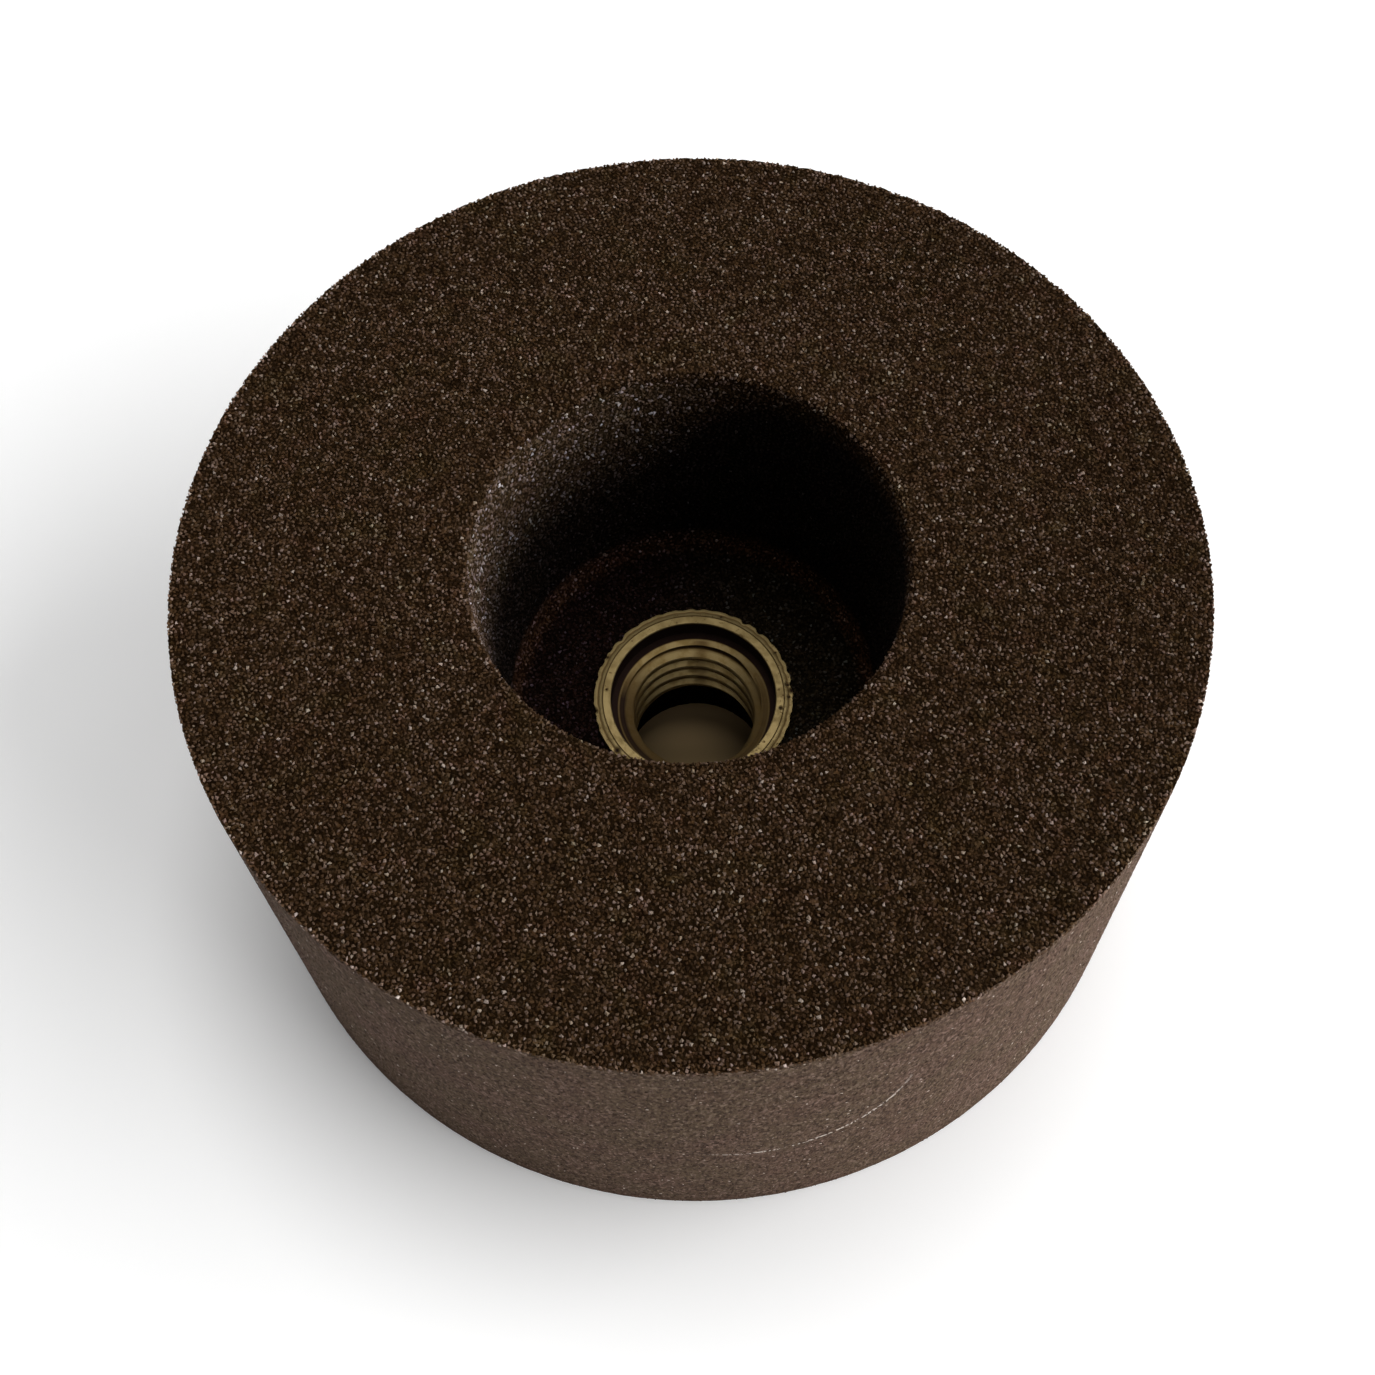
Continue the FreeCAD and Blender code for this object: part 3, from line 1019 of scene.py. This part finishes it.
def lay_floor(look):
    """Lay a wide pale floor under the wheel, with painted shade under its bore, and whiten it for the camera
    alone.
    """
    half = 3.0    # of its width
    corners = np.array([(-half, -half, 0), (half, -half, 0), (half, half, 0), (-half, half, 0)])
    mesh = mesh_of("floor", corners, [(0, 1, 2, 3)])
    floor = placed(mesh, "floor")
    shader = Shader("pale_floor")
    from_axis = shader.from_axis()
    foot = shader.smooth(from_axis, WHEEL_HIGH.x * 0.8, WHEEL_HIGH.x) * 0.5
    far = shader.smooth(from_axis, WHEEL_HIGH.x * 1.1, WHEEL_HIGH.x * 3.0) * 0.30
    white = shader.seen() * (foot + far) * look.white
    shade = shader.mix(white, (0, 0, 0), (1, 1, 1))
    # painted shade under the bore, tinted brown, darkest on its near side
    under_bore = 1 - shader.smooth(from_axis, BUSH_HIGH.x, WHEEL_HIGH.x * 0.5)
    shaded = shader.mix(shader.smooth(shader.y, 1 * MM, 8 * MM), scaled(look.floor, 0.16, 0.112, 0.055),
                        scaled(look.floor, 0.62, 0.43, 0.22))
    base = shader.mix(under_bore, look.floor, shaded)
    mesh.materials.append(shader.finish(Base_Color=base, Roughness=1.0, Specular_IOR_Level=0.0,
                                        Emission_Color=shade, Emission_Strength=1.0))


def light_world(scene, look):
    """Light all round evenly, and show white behind the floor."""
    world = bpy.data.worlds.new("soft_sky")
    world.use_nodes = True
    nodes = Nodes(world.node_tree)
    strength = look.sky + nodes.seen() * (1 - look.sky)
    sky = nodes.node("ShaderNodeBackground", inputs={"Color": (1, 1, 1, 1), "Strength": strength})
    nodes.node("ShaderNodeOutputWorld", inputs={"Surface": sky})
    scene.world = world


def shine(name, share, azimuth, elevation, softness):
    """Add a soft far light for its share of the floor's light; the azimuth is in degrees from +X to +Y."""
    lamp = bpy.data.lights.new(name, "SUN")
    lamp.energy = share * math.pi / math.sin(math.radians(elevation))
    lamp.angle = math.radians(softness)
    light = bpy.data.objects.new(name, lamp)
    bpy.context.scene.collection.objects.link(light)
    turn, rise = math.radians(azimuth), math.radians(elevation)
    towards = Vector((math.cos(turn) * math.cos(rise), math.sin(turn) * math.cos(rise), math.sin(rise)))
    light.rotation_euler = towards.to_track_quat("Z", "Y").to_euler()


# The photograph's camera, in its 1375 x 1375 pixels
PHOTO_SIZE = 1375
FOCAL_PIXELS = 1984.67
CAMERA_ELEVATION = math.radians(60.315)
CAMERA_ROLL = math.radians(-2.65)
AXIS_PIXEL = (679.21, 560.0)    # where the lens axis meets the picture
FACE_MIDDLE = Vector((0.85, -0.363, 193.876)) * MM    # right of the camera, down from it and ahead of it


def photo_camera():
    """Place the camera as it stood for the photograph."""
    forward = Vector((0, math.cos(CAMERA_ELEVATION), -math.sin(CAMERA_ELEVATION)))
    right = Vector((1, 0, 0))
    down = forward.cross(right)
    cosine, sine = math.cos(CAMERA_ROLL), math.sin(CAMERA_ROLL)
    rolled_right = right * cosine - down * sine
    rolled_down = right * sine + down * cosine
    camera = bpy.data.objects.new("camera", bpy.data.cameras.new("camera"))
    bpy.context.scene.collection.objects.link(camera)
    turn = Matrix((rolled_right, -rolled_down, -forward)).transposed()
    middle = Vector((0, 0, WHEEL_HIGH.z))
    place = middle - (rolled_right * FACE_MIDDLE.x + rolled_down * FACE_MIDDLE.y + forward * FACE_MIDDLE.z)
    camera.matrix_world = Matrix.Translation(place) @ turn.to_4x4()
    camera.data.sensor_width = 36
    camera.data.lens = FOCAL_PIXELS * camera.data.sensor_width / PHOTO_SIZE
    camera.data.shift_x = (PHOTO_SIZE / 2 - AXIS_PIXEL[0]) / PHOTO_SIZE
    camera.data.shift_y = (AXIS_PIXEL[1] - PHOTO_SIZE / 2) / PHOTO_SIZE
    camera.data.clip_start = 0.01
    camera.data.clip_end = 20
    return camera


class CUPWHEEL_PT_sidebar(bpy.types.Panel):
    """Lists the pieces and their sizes"""

    bl_label = "Cup Wheel"
    bl_space_type = "VIEW_3D"
    bl_region_type = "UI"
    bl_category = "Cup Wheel"

    def draw(self, context):
        for step in STEPS:
            self.layout.operator(step.bl_idname)
        for group in GROUPS:
            owner = getattr(context.scene, group)
            for name in owner.__annotations__:
                self.layout.prop(owner, name)


STEPS = (CUPWHEEL_OT_wheel, CUPWHEEL_OT_face_grains, CUPWHEEL_OT_recess_grains, CUPWHEEL_OT_side_grains,
         CUPWHEEL_OT_bush, CUPWHEEL_OT_stage)
GROUPS = {"wheel_sizes": WheelSizes, "grain_look": GrainLook, "bush_look": BushLook, "stage_look": StageLook}
CLASSES = (*GROUPS.values(), *STEPS, CUPWHEEL_PT_sidebar)


def register():
    """Register the classes and give the scene its settings."""
    for cls in CLASSES:
        bpy.utils.register_class(cls)
    for name, group in GROUPS.items():
        setattr(bpy.types.Scene, name, PointerProperty(type=group))


def unregister():
    """Undo register."""
    for name in GROUPS:
        delattr(bpy.types.Scene, name)
    for cls in reversed(CLASSES):
        bpy.utils.unregister_class(cls)


def main():
    """Make every piece and the stage."""
    register()
    bpy.ops.cupwheel.wheel()
    bpy.ops.cupwheel.face_grains()
    bpy.ops.cupwheel.recess_grains()
    bpy.ops.cupwheel.side_grains()
    bpy.ops.cupwheel.bush()
    bpy.ops.cupwheel.stage()


if __name__ == "__main__":
    main()
